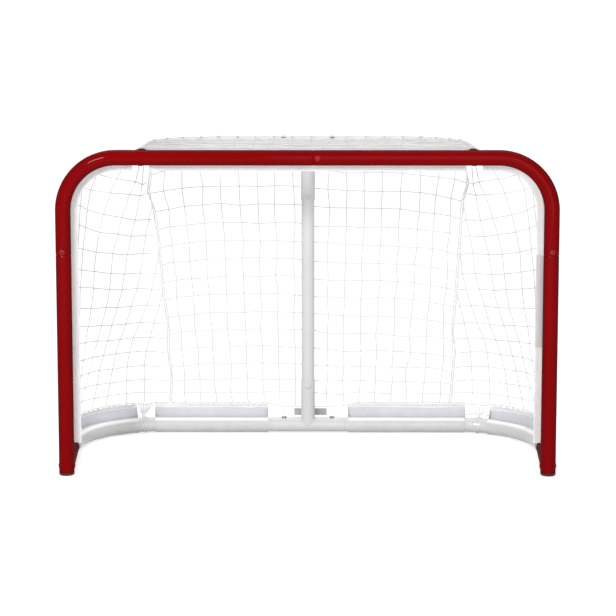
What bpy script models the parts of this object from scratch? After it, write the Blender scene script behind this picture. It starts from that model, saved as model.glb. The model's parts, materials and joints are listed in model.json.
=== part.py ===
# Mini street hockey goal: a bolted steel tube frame with a net bag and fabric sleeves.
# The goal mouth faces -Y and +Z is up. The origin lies on the floor under the middle of the box.
# Depths are measured backwards from the axis of the front frame.

from math import acos, cos, pi, radians, sin, sqrt

import bmesh
import bpy
import numpy as np
from mathutils import Matrix, Vector

# Goal mouth and frame tube
opening_width = 0.9144
opening_height = 0.6096
tube_od = 0.030
tube_wall = 0.001
corner_radius = 0.103
fit_gap = 0.0003

# Swaged ends, which slide into the next tube
spigot_length = 0.036
swage_taper = 0.002
socket_end_room = 0.003

# Seams of the front frame
post_seam_height = 0.435
crossbar_seam_x = 0.012

# Foot caps
cap_flange = 0.004
cap_round = 0.0015
cap_plug_length = 0.014

# White tube on the floor, and the red sockets that hold it
base_depth = 0.338
base_flare = radians(3.6)
base_socket_length = 0.150
socket_to_bend = 0.0108

# White tube behind the crossbar, and its red sockets
top_depth = 0.290
top_half_width = 0.322
top_bend_radius = 0.152
top_socket_length = 0.040

# Tees and the post between them
tee_half_width = 0.0775
base_tee_stub = 0.099
top_tee_stub = 0.118
centre_post_overlap = 0.060

# Tapping screws
screw_shank = 0.0048
screw_length = 0.014
screw_tip = 0.004
head_diameter = 0.011
head_height = 0.0032
head_edge = 0.0008
recess_flats = 0.0035
recess_depth = 0.0016
seam_to_screw = 0.008
tee_end_to_screw = 0.0265
socket_end_to_screw = 0.014
stub_end_to_screw = 0.010

# Net
strand = 0.0022
net_clearance = 0.001
cell_size = 0.05715
seam_cord = 0.005
top_seam_turn = radians(22)
seam_to_bend = 0.0176
back_wrap = radians(35)
side_wrap = radians(20)
top_net_inset = 0.009
border_dip = 0.009
post_blend = 0.080

# Hem behind the front frame, and the flap on its right side
hem_inside = 0.012
hem_outside = 0.014
hem_thickness = 0.0015
hem_end_room = 0.002
seam_to_flap = 0.002
flap_height = 0.1815
flap_width = 0.014
flap_thickness = 0.0012

# Sleeves round the floor tube, and the tab behind the centre post
sleeve_cloth = 0.0012
sleeve_gap = 0.0005
sleeve_top = 0.060
back_sleeve_x = 0.086
side_sleeve_turn = radians(74)
tab_left = -0.027
tab_right = 0.038
tab_bottom = 0.036
tab_thickness = 0.0012

# Faces of the curved shapes
tube_sides = 18
bend_steps = 7
screw_sides = 10
cord_points = 9

# What follows from the sizes above
tube_r = tube_od / 2
bore_r = tube_r - tube_wall
spigot_r = bore_r - fit_gap
post_x = (opening_width + tube_od) / 2
crossbar_z = opening_height + tube_r
sleeve_inner = tube_r + sleeve_gap
sleeve_outer = sleeve_inner + sleeve_cloth
panel_middle = sleeve_outer - sleeve_cloth
base_z = sleeve_outer
front_y = -(base_depth + sleeve_outer - tube_r - fit_gap - head_height) / 2
half_strand = strand / 2
net_standoff = tube_r + net_clearance + half_strand
hem_front = tube_r + fit_gap
hem_back = hem_front + hem_thickness
net_front = hem_back + fit_gap + half_strand
border_z = sleeve_top + fit_gap + half_strand
seam_room = seam_cord / 2 + fit_gap + strand
side_seam_room = 1.5 * seam_room
chord_room = (top_bend_radius + net_standoff) * (1 - cos(cell_size / top_bend_radius / 2))
across, back, up = Vector((1, 0, 0)), Vector((0, 1, 0)), Vector((0, 0, 1))

for found in list(bpy.data.objects):
    bpy.data.objects.remove(found, do_unlink=True)

parts = bpy.data.collections.new("hockey_goal")
cutters = bpy.data.collections.new("cutters")
bpy.context.scene.collection.children.link(parts)
bpy.context.scene.collection.children.link(cutters)


def paint(name, color, roughness, metallic=0.0):
    material = bpy.data.materials.new(name)
    material.use_nodes = True
    shader = material.node_tree.nodes["Principled BSDF"]
    shader.inputs["Base Color"].default_value = (*color, 1)
    shader.inputs["Roughness"].default_value = roughness
    shader.inputs["Metallic"].default_value = metallic
    return material


red_paint = paint("red_paint", (0.22, 0.0, 0.002), 0.22)
white_paint = paint("white_paint", (0.72, 0.72, 0.73), 0.3)
black_plastic = paint("black_plastic", (0.02, 0.018, 0.018), 0.45)
red_steel = paint("red_steel", (0.25, 0.01, 0.01), 0.25, 0.4)
bare_steel = paint("bare_steel", (0.35, 0.35, 0.37), 0.35, 1.0)
white_cord = paint("white_cord", (0.78, 0.78, 0.78), 0.75)
white_fabric = paint("white_fabric", (0.7, 0.69, 0.74), 0.85)
grey_fabric = paint("grey_fabric", (0.16, 0.15, 0.17), 0.9)


def at(x, depth, z):
    """A point from its place across, its depth behind the front frame and its height."""
    return Vector((x, front_y + depth, z))


def add_part(name, mesh, material):
    made = bpy.data.objects.new(name, mesh)
    parts.objects.link(made)
    mesh.materials.clear()
    mesh.materials.append(material)
    return made


def add_cutter(name, mesh):
    made = bpy.data.objects.new(name, mesh)
    cutters.objects.link(made)
    made.hide_render = True
    made.display_type = "WIRE"
    return made


def mesh_from(work, name):
    mesh = bpy.data.meshes.new(name)
    work.to_mesh(mesh)
    work.free()
    return mesh


def rod(name, start, end, radius, sides=tube_sides):
    """A solid cylinder between two points, used to cut or to join."""
    work = bmesh.new()
    bmesh.ops.create_cone(
        work,
        cap_ends=True,
        segments=sides,
        radius1=radius,
        radius2=radius,
        depth=(end - start).length,
    )
    mesh = mesh_from(work, name)
    turn = (end - start).to_track_quat("Z", "Y").to_matrix().to_4x4()
    mesh.transform(Matrix.Translation((start + end) / 2) @ turn)
    return add_cutter(name, mesh)


def combine(target, operation, other):
    step = target.modifiers.new(f"{operation.lower()}_{other.name}", "BOOLEAN")
    step.operation = operation
    step.solver = "EXACT"
    step.object = other


def swept_mesh(name, points, radii, sides=tube_sides, capped=False):
    """A poly curve as thick at each point as its radius says, turned into a mesh."""
    data = bpy.data.curves.new(name, "CURVE")
    data.dimensions = "3D"
    data.bevel_depth = 1.0
    data.bevel_resolution = sides // 2 - 2
    data.use_fill_caps = capped
    line = data.splines.new("POLY")
    line.points.add(len(points) - 1)
    for spot, point, radius in zip(line.points, points, radii):
        spot.co = (*point, 1)
        spot.radius = radius
    source = bpy.data.objects.new(name, data)
    cutters.objects.link(source)
    bpy.context.view_layer.update()
    graph = bpy.context.evaluated_depsgraph_get()
    mesh = bpy.data.meshes.new_from_object(source.evaluated_get(graph))
    bpy.data.objects.remove(source, do_unlink=True)
    work = bmesh.new()
    work.from_mesh(mesh)
    bmesh.ops.remove_doubles(work, verts=work.verts, dist=1e-6)
    bmesh.ops.recalc_face_normals(work, faces=work.faces)
    work.to_mesh(mesh)
    work.free()
    mesh.shade_smooth()
    mesh.set_sharp_from_angle(angle=radians(35))
    return mesh


def tube(name, points, radii, material):
    """A hollow tube along the points: an open skin of its outer size, with the wall inwards."""
    mesh = swept_mesh(name, points, radii)
    face = mesh.polygons[0]
    nearest = min(points, key=lambda p: (p - face.center).length)
    made = add_part(name, mesh, material)
    wall = made.modifiers.new("wall", "SOLIDIFY")
    wall.thickness = tube_wall
    wall.offset = -1 if face.normal.dot(face.center - nearest) > 0 else 1
    return made


def with_spigot(points, radii, length):
    """The tube is drawn down to fit a bore just before its last point, and runs on past it."""
    ahead = (points[-1] - points[-2]).normalized()
    shoulder = points[-1] - ahead * swage_taper
    spigot = [points[-1], points[-1] + ahead * length]
    return points[:-1] + [shoulder] + spigot, radii[:-1] + [tube_r, spigot_r, spigot_r]


def frame_tube(name, points, material, first=0.0, last=0.0):
    """A tube with a swaged end of the given length at its first or last point."""
    points, radii = list(points), [tube_r] * len(points)
    if last:
        points, radii = with_spigot(points, radii, last)
    if first:
        points, radii = with_spigot(points[::-1], radii[::-1], first)
    return tube(name, points, radii, material)


def weld_stub(main, foot, way, length, main_way):
    """Welds a stub tube to the main tube: coped round it at the foot and open at the far end."""
    far = foot + way * length
    room = main_way * tube_od
    stub = rod(main.name + "_stub", foot, far, tube_r)
    cope = rod(main.name + "_cope", foot - room, foot + room, tube_r - tube_wall / 2)
    bore = rod(main.name + "_bore", foot - way * tube_wall, far + way * tube_wall, bore_r)
    combine(stub, "DIFFERENCE", cope)
    combine(stub, "DIFFERENCE", bore)
    combine(main, "UNION", stub)


def drill(target, seat, outward, label):
    """A clearance hole through the tube's wall under a screw's seat."""
    reach = outward * tube_r
    hole_r = screw_shank / 2 + fit_gap
    start, end = seat - reach * 0.75, seat + reach * 0.3
    combine(target, "DIFFERENCE", rod(f"{target.name}_{label}", start, end, hole_r, 10))


def turned_part(name, profile, sides, material):
    """A profile of (radius, height) points, top to bottom, turned about Z."""
    mesh = bpy.data.meshes.new(name)
    links = [(i, i + 1) for i in range(len(profile) - 1)]
    mesh.from_pydata([(r, 0, z) for r, z in profile], links, [])
    made = add_part(name, mesh, material)
    spin = made.modifiers.new("turned", "SCREW")
    spin.steps = spin.render_steps = sides
    spin.use_merge_vertices = True
    spin.merge_threshold = 1e-5
    return made


def screw(name, seat, outward, material):
    """A button head tapping screw with a hex recess. Its seat lies on the tube's surface."""
    head_r, shank_r, rise = head_diameter / 2, screw_shank / 2, head_height - head_edge
    dome = [(head_r * cos(a), fit_gap + head_edge + rise * sin(a)) for a in (pi / 3, 0)]
    profile = [(0, fit_gap + head_height)] + dome + [(head_r, fit_gap), (shank_r, fit_gap)]
    profile += [(shank_r, screw_tip - screw_length), (0, -screw_length)]
    made = turned_part(name, profile, screw_sides, material)
    recess = rod(
        name + "_recess",
        up * (fit_gap + head_height - recess_depth),
        up * (fit_gap + head_height + recess_depth),
        recess_flats / sqrt(3),
        6,
    )
    combine(made, "DIFFERENCE", recess)
    turn = outward.to_track_quat("Z", "Y").to_matrix().to_4x4()
    for piece in (made, recess):
        piece.matrix_world = Matrix.Translation(seat) @ turn


def loft(name, rings, holes, material):
    """A solid through rings of points, with a hole all the way along where hole rings are given."""
    stations, count = len(rings), len(rings[0])
    points = [tuple(p) for ring in rings for p in ring]
    skin = [
        (k * count + i, k * count + (i + 1) % count, (k + 1) * count + (i + 1) % count, (k + 1) * count + i)
        for k in range(stations - 1)
        for i in range(count)
    ]
    last = (stations - 1) * count
    if holes:
        inner = len(points)
        points += [tuple(p) for ring in holes for p in ring]
        ends = [(e + i, e + (i + 1) % count, inner + e + (i + 1) % count, inner + e + i)
                for e in (0, last) for i in range(count)]
        faces = skin + [tuple(inner + v for v in face) for face in skin] + ends
    else:
        faces = skin + [tuple(range(count)), tuple(range(last, last + count))]
    mesh = bpy.data.meshes.new(name)
    mesh.from_pydata(points, [], faces)
    work = bmesh.new()
    work.from_mesh(mesh)
    bmesh.ops.recalc_face_normals(work, faces=work.faces)
    work.to_mesh(mesh)
    work.free()
    return add_part(name, mesh, material)


def mirrored(points, side):
    return [Vector((side * p.x, p.y, p.z)) for p in points]


def quarter(centre, radius, start, end, first_way, second_way, steps=bend_steps):
    """Points of a bend: the angle turns from the first direction towards the second."""
    turns = [start + (end - start) * i / steps for i in range(steps + 1)]
    return [centre + radius * (cos(t) * first_way + sin(t) * second_way) for t in turns]


# Routes of the tubes on the right-hand side
base_way = Vector((sin(base_flare), cos(base_flare), 0))
base_straight = base_socket_length + socket_to_bend
base_bend_radius = (base_depth - base_straight * cos(base_flare)) / (1 + sin(base_flare))
base_start = at(post_x, 0, base_z)
base_centre = (
    base_start + base_way * base_straight
    - base_bend_radius * Vector((cos(base_flare), -sin(base_flare), 0))
)
bottom_seam_x = base_centre.x - seam_to_bend
base_bend = quarter(base_centre, base_bend_radius, -base_flare, pi / 2, across, back)
top_straight = top_depth - top_bend_radius
top_start = at(top_half_width, 0, crossbar_z)
top_centre = at(top_half_width - top_bend_radius, top_straight, crossbar_z)
top_bend = quarter(top_centre, top_bend_radius, 0, pi / 2, across, back)
base_tee_axis = at(0, base_depth, base_z)
top_tee_axis = at(0, top_depth, crossbar_z)
centre_way = (top_tee_axis - base_tee_axis).normalized()
centre_front = -(back - centre_way * back.dot(centre_way)).normalized()


def make_post(side, word):
    foot = at(side * post_x, 0, cap_flange + fit_gap)
    seam = at(side * post_x, 0, post_seam_height)
    post = frame_tube("post_" + word, [foot, seam], red_paint, last=spigot_length)
    way = Vector((side * base_way.x, base_way.y, 0))
    outward = Vector((side * base_way.y, -base_way.x, 0))
    socket = at(side * post_x, 0, base_z)
    weld_stub(post, socket, way, base_socket_length, up)
    floor = at(side * post_x, 0, 0)
    cap_room = rod(post.name + "_cap_room", floor - up * tube_r, floor + up * cap_flange, tube_r + fit_gap)
    combine(post, "DIFFERENCE", cap_room)
    front_seat = at(side * post_x, -tube_r, post_seam_height + seam_to_screw)
    drill(post, front_seat, -back, "front_hole")
    side_seat = socket + way * (base_socket_length - socket_end_to_screw) + outward * tube_r
    drill(post, side_seat, outward, "side_hole")
    screw("screw_post_" + word, front_seat, -back, red_steel)
    screw("screw_base_socket_" + word, side_seat, outward, red_steel)
    return front_seat, side_seat, outward


def make_corner(side, word, post_seat):
    """The upper stretch of a post, the bend and half of the crossbar, with the top tube's socket."""
    centre = at(post_x - corner_radius, 0, crossbar_z - corner_radius)
    bend = quarter(centre, corner_radius, 0, pi / 2, across, up)
    route = mirrored([at(post_x, 0, post_seam_height + fit_gap)] + bend, side)
    is_left = side < 0
    route.append(at(crossbar_seam_x + (0 if is_left else fit_gap), 0, crossbar_z))
    corner = frame_tube("corner_" + word, route, red_paint, last=spigot_length if is_left else 0)
    socket = at(side * top_half_width, 0, crossbar_z)
    weld_stub(corner, socket, back, top_socket_length, across)
    under_seat = socket + back * (top_socket_length - socket_end_to_screw) - up * tube_r
    middle_seat = at(crossbar_seam_x + seam_to_screw, -tube_r, crossbar_z)
    drill(corner, post_seat, -back, "post_hole")
    drill(corner, middle_seat, -back, "middle_hole")
    drill(corner, under_seat, -up, "under_hole")
    screw("screw_top_socket_" + word, under_seat, -up, red_steel)
    if is_left:
        screw("screw_crossbar", middle_seat, -back, red_steel)
    return under_seat


def make_foot_cap(side, word):
    plug_r = bore_r - fit_gap
    edge = [
        (tube_r - cap_round * (1 - cos(a)), cap_round * (1 - sin(a)))
        for a in (0, pi / 6, pi / 3, pi / 2)
    ]
    profile = [(0, cap_flange + cap_plug_length), (plug_r, cap_flange + cap_plug_length)]
    profile += [(plug_r, cap_flange), (tube_r, cap_flange)] + edge + [(0, 0)]
    cap = turned_part("foot_cap_" + word, profile, tube_sides, black_plastic)
    cap.location = at(side * post_x, 0, 0)


def make_base_tube(side, word, side_seat, outward, tee_seat):
    start = base_start + base_way * (base_socket_length + fit_gap)
    end = at(tee_half_width + fit_gap, base_depth, base_z)
    route = mirrored([start] + base_bend + [end], side)
    made = frame_tube("base_tube_" + word, route, white_paint, spigot_length, spigot_length)
    drill(made, side_seat, outward, "socket_hole")
    drill(made, tee_seat, up, "tee_hole")


def make_top_tube(side, word, under_seat, tee_seat):
    start = top_start + back * (top_socket_length + fit_gap)
    end = at(tee_half_width + fit_gap, top_depth, crossbar_z)
    route = mirrored([start] + top_bend + [end], side)
    socket_spigot = top_socket_length - tube_r - socket_end_room
    made = frame_tube("top_tube_" + word, route, white_paint, socket_spigot, spigot_length)
    drill(made, under_seat, -up, "socket_hole")
    drill(made, tee_seat, up, "tee_hole")


def make_tee(name, axis, stub_way, stub_length):
    """A short cross tube with a stub for the centre post, and the seats of its screws."""
    ends = [axis - across * tee_half_width, axis + across * tee_half_width]
    tee = frame_tube(name, ends, white_paint)
    weld_stub(tee, axis, stub_way, stub_length, across)
    seats = {}
    for side, word in ((-1, "left"), (1, "right")):
        seats[word] = axis + across * side * (tee_half_width - tee_end_to_screw) + up * tube_r
        drill(tee, seats[word], up, word + "_hole")
        screw(f"screw_{name}_{word}", seats[word], up, bare_steel)
    stub_seat = axis + stub_way * (stub_length - stub_end_to_screw) + centre_front * tube_r
    drill(tee, stub_seat, centre_front, "stub_hole")
    screw(f"screw_{name}_stub", stub_seat, centre_front, bare_steel)
    return seats, stub_seat


def make_centre_post(base_seat, top_seat):
    """A tube that slides into both tees' stubs."""
    lower = base_tee_axis + centre_way * (base_tee_stub - centre_post_overlap)
    upper = top_tee_axis - centre_way * (top_tee_stub - centre_post_overlap)
    post = tube("centre_post", [lower, upper], [spigot_r] * 2, white_paint)
    drill(post, base_seat, centre_front, "base_hole")
    drill(post, top_seat, centre_front, "top_hole")


def make_frame():
    base_seats, base_stub_seat = make_tee("base_tee", base_tee_axis, centre_way, base_tee_stub)
    top_seats, top_stub_seat = make_tee("top_tee", top_tee_axis, -centre_way, top_tee_stub)
    make_centre_post(base_stub_seat, top_stub_seat)
    for side, word in ((-1, "left"), (1, "right")):
        make_foot_cap(side, word)
        post_seat, side_seat, outward = make_post(side, word)
        under_seat = make_corner(side, word, post_seat)
        make_base_tube(side, word, side_seat, outward, base_seats[word])
        make_top_tube(side, word, under_seat, top_seats[word])


# Net panels are grids of points, one row of the array for each row of the net


def spread(first, last, count):
    return np.linspace(first, last, count)


def cells(length):
    return max(2, round(length / cell_size))


def rail_line(along):
    """The top tube's axis from the crossbar back and round its bend, and the way outwards."""
    turn = np.clip((along - top_straight) / top_bend_radius, 0, pi / 2)
    x = top_half_width - top_bend_radius * (1 - np.cos(turn))
    depth = np.minimum(along, top_straight) + top_bend_radius * np.sin(turn)
    return x, depth, np.cos(turn), np.sin(turn)


def top_rear_line(along):
    """The top tube's axis from its middle to either side and round its bends, and the way outwards."""
    straight = top_half_width - top_bend_radius
    side, length = np.sign(along), np.abs(along)
    turn = np.maximum(length - straight, 0) / top_bend_radius
    x = side * (np.minimum(length, straight) + top_bend_radius * np.sin(turn))
    depth = top_depth - top_bend_radius * (1 - np.cos(turn))
    return x, depth, side * np.sin(turn), np.cos(turn)


def base_line(along):
    """The floor tube's axis from its middle round the right bend to the post, and the way outwards."""
    straight = base_centre.x
    bend_length = base_bend_radius * (pi / 2 + base_flare)
    turn = np.clip((along - straight) / base_bend_radius, 0, pi / 2 + base_flare)
    beyond = np.maximum(along - straight - bend_length, 0)
    x = np.minimum(along, straight) + base_bend_radius * np.sin(turn) - beyond * sin(base_flare)
    depth = base_depth - base_bend_radius * (1 - np.cos(turn)) - beyond * cos(base_flare)
    return x, depth, np.sin(turn), np.cos(turn)


def points_at(x, depth, z):
    x, depth, z = np.broadcast_arrays(x, depth, z)
    return np.stack([x, front_y + depth, z], axis=-1)


def between(first, last, count):
    """Rows of points from one line of points to another."""
    share = spread(0, 1, count)[:, None, None]
    return first + (last - first) * share


def coons(top, bottom, front, rear):
    """A surface that fills the frame of four edges. Front and rear run from top to bottom."""
    v = spread(0, 1, len(front))[:, None, None]
    u = spread(0, 1, len(top))[None, :, None]
    ruled = (1 - v) * top[None] + v * bottom[None] + (1 - u) * front[:, None] + u * rear[:, None]
    corners = (1 - u) * (1 - v) * top[0] + u * (1 - v) * top[-1]
    return ruled - corners - (1 - u) * v * bottom[0] - u * v * bottom[-1]


def net_panel(name, grid):
    """Strands along every line of a grid of points."""
    rows, columns = grid.shape[:2]
    index = np.arange(rows * columns).reshape(rows, columns)
    quads = np.stack([index[:-1, :-1], index[1:, :-1], index[1:, 1:], index[:-1, 1:]], axis=-1)
    mesh = bpy.data.meshes.new(name)
    mesh.from_pydata(grid.reshape(-1, 3).tolist(), [], quads.reshape(-1, 4).tolist())
    made = add_part(name, mesh, white_cord)
    wires = made.modifiers.new("strands", "WIREFRAME")
    wires.thickness = strand
    wires.use_boundary = True
    wires.use_even_offset = False


def flip(grid, side):
    grid = grid.copy()
    grid[..., 0] *= side
    return grid[:, ::side]


def top_half_edge():
    """Half the length of the back net's top edge, from the middle to a seam cord."""
    return top_half_width - top_bend_radius + top_bend_radius * (pi / 2 - top_seam_turn)


def make_back_net():
    half = top_half_edge() - seam_room
    columns = cells(2 * half)
    along = spread(-half, half, columns + 1)
    x, depth, out_x, out_depth = top_rear_line(along)
    near_bend = np.abs(along) > top_half_width - top_bend_radius - cell_size
    reach = net_standoff + chord_room * near_bend
    wrapped = reach * cos(back_wrap)
    level = crossbar_z + net_standoff * sin(back_wrap)
    edge = points_at(x + out_x * wrapped, depth + out_depth * wrapped, level)
    tangent = points_at(x + out_x * reach, depth + out_depth * reach, crossbar_z)
    bottom_x = spread(seam_room - bottom_seam_x, bottom_seam_x - seam_room, columns + 1)
    dips = np.abs(bottom_x) < back_sleeve_x - (bottom_x[1] - bottom_x[0])
    bottom = points_at(bottom_x, base_depth + panel_middle, border_z - border_dip * dips)
    rows = cells(crossbar_z - border_z)
    net_panel("net_back", np.concatenate([edge[None], between(tangent, bottom, rows + 1)]))


def make_top_net():
    inset = top_net_inset
    side_end = top_straight + top_bend_radius * top_seam_turn
    rows = cells(side_end - net_front)
    half = top_half_edge()
    columns = cells(2 * half)
    level = crossbar_z + net_standoff
    x, depth, out_x, out_depth = rail_line(spread(net_front, side_end, rows + 1))
    right = points_at(x - out_x * inset, depth - out_depth * inset, level)
    x, depth, out_x, out_depth = top_rear_line(spread(-half, half, columns + 1))
    rear = points_at(x - out_x * inset, depth - out_depth * inset, level)
    left = flip(right[:, None], -1)[:, 0]
    front = points_at(spread(left[0, 0], right[0, 0], columns + 1), net_front, level)
    net_panel("net_top", coons(front, rear, left, right))


def front_edge(first, rows):
    """Points from the given one along the crossbar, round the corner and down the post."""
    centre_x, centre_z = post_x - corner_radius, crossbar_z - corner_radius
    bar = centre_x - first[0]
    bend = corner_radius * pi / 2
    along = spread(0, bar + bend + centre_z - border_z, rows)
    turn = np.clip((along - bar) / corner_radius, 0, pi / 2)
    x = first[0] + np.minimum(along, bar) + corner_radius * np.sin(turn)
    z = crossbar_z - corner_radius * (1 - np.cos(turn)) - np.maximum(along - bar - bend, 0)
    edge = points_at(x, net_front, z)
    edge[0] = first
    return edge


def make_side_nets():
    side_end = top_straight + top_bend_radius * top_seam_turn - side_seam_room
    x, depth, out_x, out_depth = rail_line(spread(net_front, side_end, 7))
    reach = net_standoff * cos(side_wrap)
    top = points_at(x + out_x * reach, depth + out_depth * reach, crossbar_z + net_standoff * sin(side_wrap))
    first = bottom_seam_x + side_seam_room
    last = base_centre.x + base_bend_radius * (pi / 2 + base_flare) + base_straight - net_front
    x, depth, out_x, out_depth = base_line(spread(last, first, 7))
    away = panel_middle * np.clip((depth - net_front) / post_blend, 0, 1)
    bottom = points_at(x + out_x * away, np.maximum(depth + out_depth * away, net_front), border_z)
    bottom[0] = points_at(post_x, net_front, border_z)
    rows = cells(crossbar_z - border_z)
    front = front_edge(top[0], rows + 1)
    rear = between(top[-1][None], bottom[-1][None], rows + 1)[:, 0]
    grid = coons(top, bottom, front, rear)
    for side, word in ((-1, "left"), (1, "right")):
        net_panel("net_" + word, flip(grid, side))


def make_seam_cords():
    """The cords that join the side nets to the back net."""
    turn = top_seam_turn
    out = net_standoff + strand
    top = at(
        top_half_width - top_bend_radius * (1 - cos(turn)) + out * cos(turn),
        top_straight + (top_bend_radius + out) * sin(turn),
        crossbar_z,
    )
    bottom = at(bottom_seam_x, base_depth + sleeve_outer - seam_cord / 2, border_z + seam_cord / 2)
    shares = [i / (cord_points - 1) for i in range(cord_points)]
    for side, word in ((-1, "left"), (1, "right")):
        route = mirrored([top.lerp(bottom, share) for share in shares], side)
        mesh = swept_mesh("seam_cord_" + word, route, [seam_cord / 2] * cord_points, 8, capped=True)
        add_part("seam_cord_" + word, mesh, white_cord)


def strip_ring(inner, outer):
    """The four corners of the hem where its inner and outer edge have these places."""
    thick = back * hem_thickness
    return [inner, outer, outer + thick, inner + thick]


def make_hems():
    """Flat strips on the back of the front frame, which show inside its tubes."""
    inner_r, outer_r = corner_radius - tube_r - hem_inside, corner_radius + hem_outside
    centre = at(post_x - corner_radius, hem_front, crossbar_z - corner_radius)
    bends = list(zip(
        quarter(centre, inner_r, 0, pi / 2, across, up),
        quarter(centre, outer_r, 0, pi / 2, across, up),
    ))
    beside_socket = tube_r + hem_end_room
    low, high = crossbar_z - tube_r - hem_inside, crossbar_z + hem_outside
    for side, word in ((-1, "left"), (1, "right")):
        pairs = [(at(post_x - tube_r - hem_inside, hem_front, sleeve_top),
                  at(post_x + hem_outside, hem_front, sleeve_top))]
        pairs += bends
        end_x = top_half_width + beside_socket
        pairs.append((at(end_x, hem_front, low), at(end_x, hem_front, high)))
        rings = [mirrored(strip_ring(inner, outer), side) for inner, outer in pairs]
        loft("hem_" + word, rings, None, white_fabric)
    end_x = top_half_width - beside_socket
    rings = [strip_ring(at(x, hem_front, low), at(x, hem_front, high)) for x in (-end_x, end_x)]
    loft("hem_top", rings, None, white_fabric)


def box(name, low, high, material):
    corners = [(low.x, low.z), (high.x, low.z), (high.x, high.z), (low.x, high.z)]
    rings = [[Vector((x, y, z)) for x, z in corners] for y in (low.y, high.y)]
    return loft(name, rings, None, material)


def sleeve_section(centre, outward):
    """A loop of cloth round the floor tube whose two ends stand up as one flat panel behind it."""
    panel_inner = sleeve_outer - 2 * sleeve_cloth
    meet = acos(panel_inner / sleeve_outer)
    turns = [-i * pi / 8 for i in range(15)] + [meet - 2 * pi]
    ring = [centre + sleeve_outer * (cos(t) * outward + sin(t) * up) for t in turns]
    hole = [centre + sleeve_inner * (cos(t) * outward + sin(t) * up) for t in turns]
    rise = up * (sleeve_top - centre.z)
    ring += [centre + outward * panel_inner + rise, centre + outward * sleeve_outer + rise]
    hole += [
        centre + sleeve_inner * (cos(t) * outward + sin(t) * up) for t in (meet * 2 / 3, meet / 3)
    ]
    return ring, hole


def make_sleeves():
    turns = [-base_flare + (pi / 2 + base_flare) * i / bend_steps for i in range(bend_steps + 1)]
    radial = [cos(t) * across + sin(t) * back for t in turns]
    stations = []
    for turn, point, way in zip(turns, base_bend, radial):
        if turn < side_sleeve_turn:
            stations.append((point, way))
            here = turn
    k = len(stations) - 2
    share = (side_sleeve_turn - here) / (turns[k + 1] - turns[k])
    chord_way = (radial[k] + radial[k + 1]).normalized()
    stations.append((base_bend[k].lerp(base_bend[k + 1], share), chord_way))
    for side, word in ((-1, "left"), (1, "right")):
        sections = [sleeve_section(point, way) for point, way in stations]
        rings = [mirrored(ring, side) for ring, _ in sections]
        holes = [mirrored(hole, side) for _, hole in sections]
        loft("side_sleeve_" + word, rings, holes, white_fabric)
        ends = [at(x, base_depth, base_z) for x in (back_sleeve_x, base_centre.x)]
        sections = [sleeve_section(point, back) for point in ends]
        rings = [mirrored(ring, side) for ring, _ in sections]
        holes = [mirrored(hole, side) for _, hole in sections]
        loft("back_sleeve_" + word, rings, holes, white_fabric)


def make_tab_and_flap():
    tab_front = base_depth + panel_middle - half_strand
    tab_top = border_z - border_dip - half_strand - fit_gap
    box("centre_tab", at(tab_left, tab_front, tab_bottom),
        at(tab_right, tab_front + tab_thickness, tab_top), grey_fabric)
    flap_x = post_x - tube_r - hem_inside + fit_gap
    flap_top = post_seam_height - seam_to_flap
    flap_back = hem_front - fit_gap
    box("post_flap", at(flap_x, flap_back - flap_thickness, flap_top - flap_height),
        at(flap_x + flap_width, flap_back, flap_top), grey_fabric)


make_frame()
make_back_net()
make_top_net()
make_side_nets()
make_seam_cords()
make_hems()
make_sleeves()
make_tab_and_flap()
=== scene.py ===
import json

import bpy
import numpy as np
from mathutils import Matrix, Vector


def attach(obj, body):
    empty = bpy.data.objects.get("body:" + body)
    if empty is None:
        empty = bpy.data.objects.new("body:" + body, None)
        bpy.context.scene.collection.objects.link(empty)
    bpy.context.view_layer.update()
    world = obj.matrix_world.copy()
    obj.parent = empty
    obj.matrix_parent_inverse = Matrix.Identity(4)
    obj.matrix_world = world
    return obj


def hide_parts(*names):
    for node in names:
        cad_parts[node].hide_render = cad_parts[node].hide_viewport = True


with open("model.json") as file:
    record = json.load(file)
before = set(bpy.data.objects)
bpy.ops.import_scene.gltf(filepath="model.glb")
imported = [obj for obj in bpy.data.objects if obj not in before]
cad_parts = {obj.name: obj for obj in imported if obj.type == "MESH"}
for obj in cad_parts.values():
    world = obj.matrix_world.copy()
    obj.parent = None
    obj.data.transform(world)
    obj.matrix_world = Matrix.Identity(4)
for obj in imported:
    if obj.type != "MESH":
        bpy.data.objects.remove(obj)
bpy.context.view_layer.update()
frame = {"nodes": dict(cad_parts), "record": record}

slots = {row["node"]: row["material_slot"] for row in frame["record"]["subparts"]}
print("frame loaded:", len(frame["nodes"]), "nodes")

goal = dict(
    postX=0.4722, barZ=0.6246, frontY=-0.1681, cornerRadius=0.103, seamHeight=0.435, barSeamX=0.012,
    tubeRadius=0.015, wall=0.001, fitGap=0.0003, spigot=0.036, swage=0.002,
    capHeight=0.004, baseZ=0.0167, baseDepth=0.338, baseFlare=np.radians(3.6), baseSocket=0.150,
    socketToBend=0.0108, topDepth=0.290, topHalf=0.322, topRadius=0.152, topSocket=0.040,
    teeHalf=0.0775, baseStub=0.099, topStub=0.118, overlap=0.060, sleeveTop=0.060, socketEnd=0.003,
    sides=56,
)
postX, barZ, baseZ = goal["postX"], goal["barZ"], goal["baseZ"]
baseDepth, topDepth, topHalf, topRadius = (goal[k] for k in ("baseDepth", "topDepth", "topHalf", "topRadius"))
tubeRadius, fitGap, baseFlare, cornerRadius = (goal[k] for k in ("tubeRadius", "fitGap", "baseFlare", "cornerRadius"))
spigotRadius = tubeRadius - goal["wall"] - fitGap
across, back, up = np.eye(3)
flip = np.array([-1, 1, 1])
words = {-1: "left", 1: "right"}


def at(x, depth, z):
    return np.stack(np.broadcast_arrays(x, goal["frontY"] + depth, z), axis=-1).astype(float)


def unit(v):
    return v / np.linalg.norm(v, axis=-1, keepdims=True)


def dot(a, b):
    return (a * b).sum(-1, keepdims=True)


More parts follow.
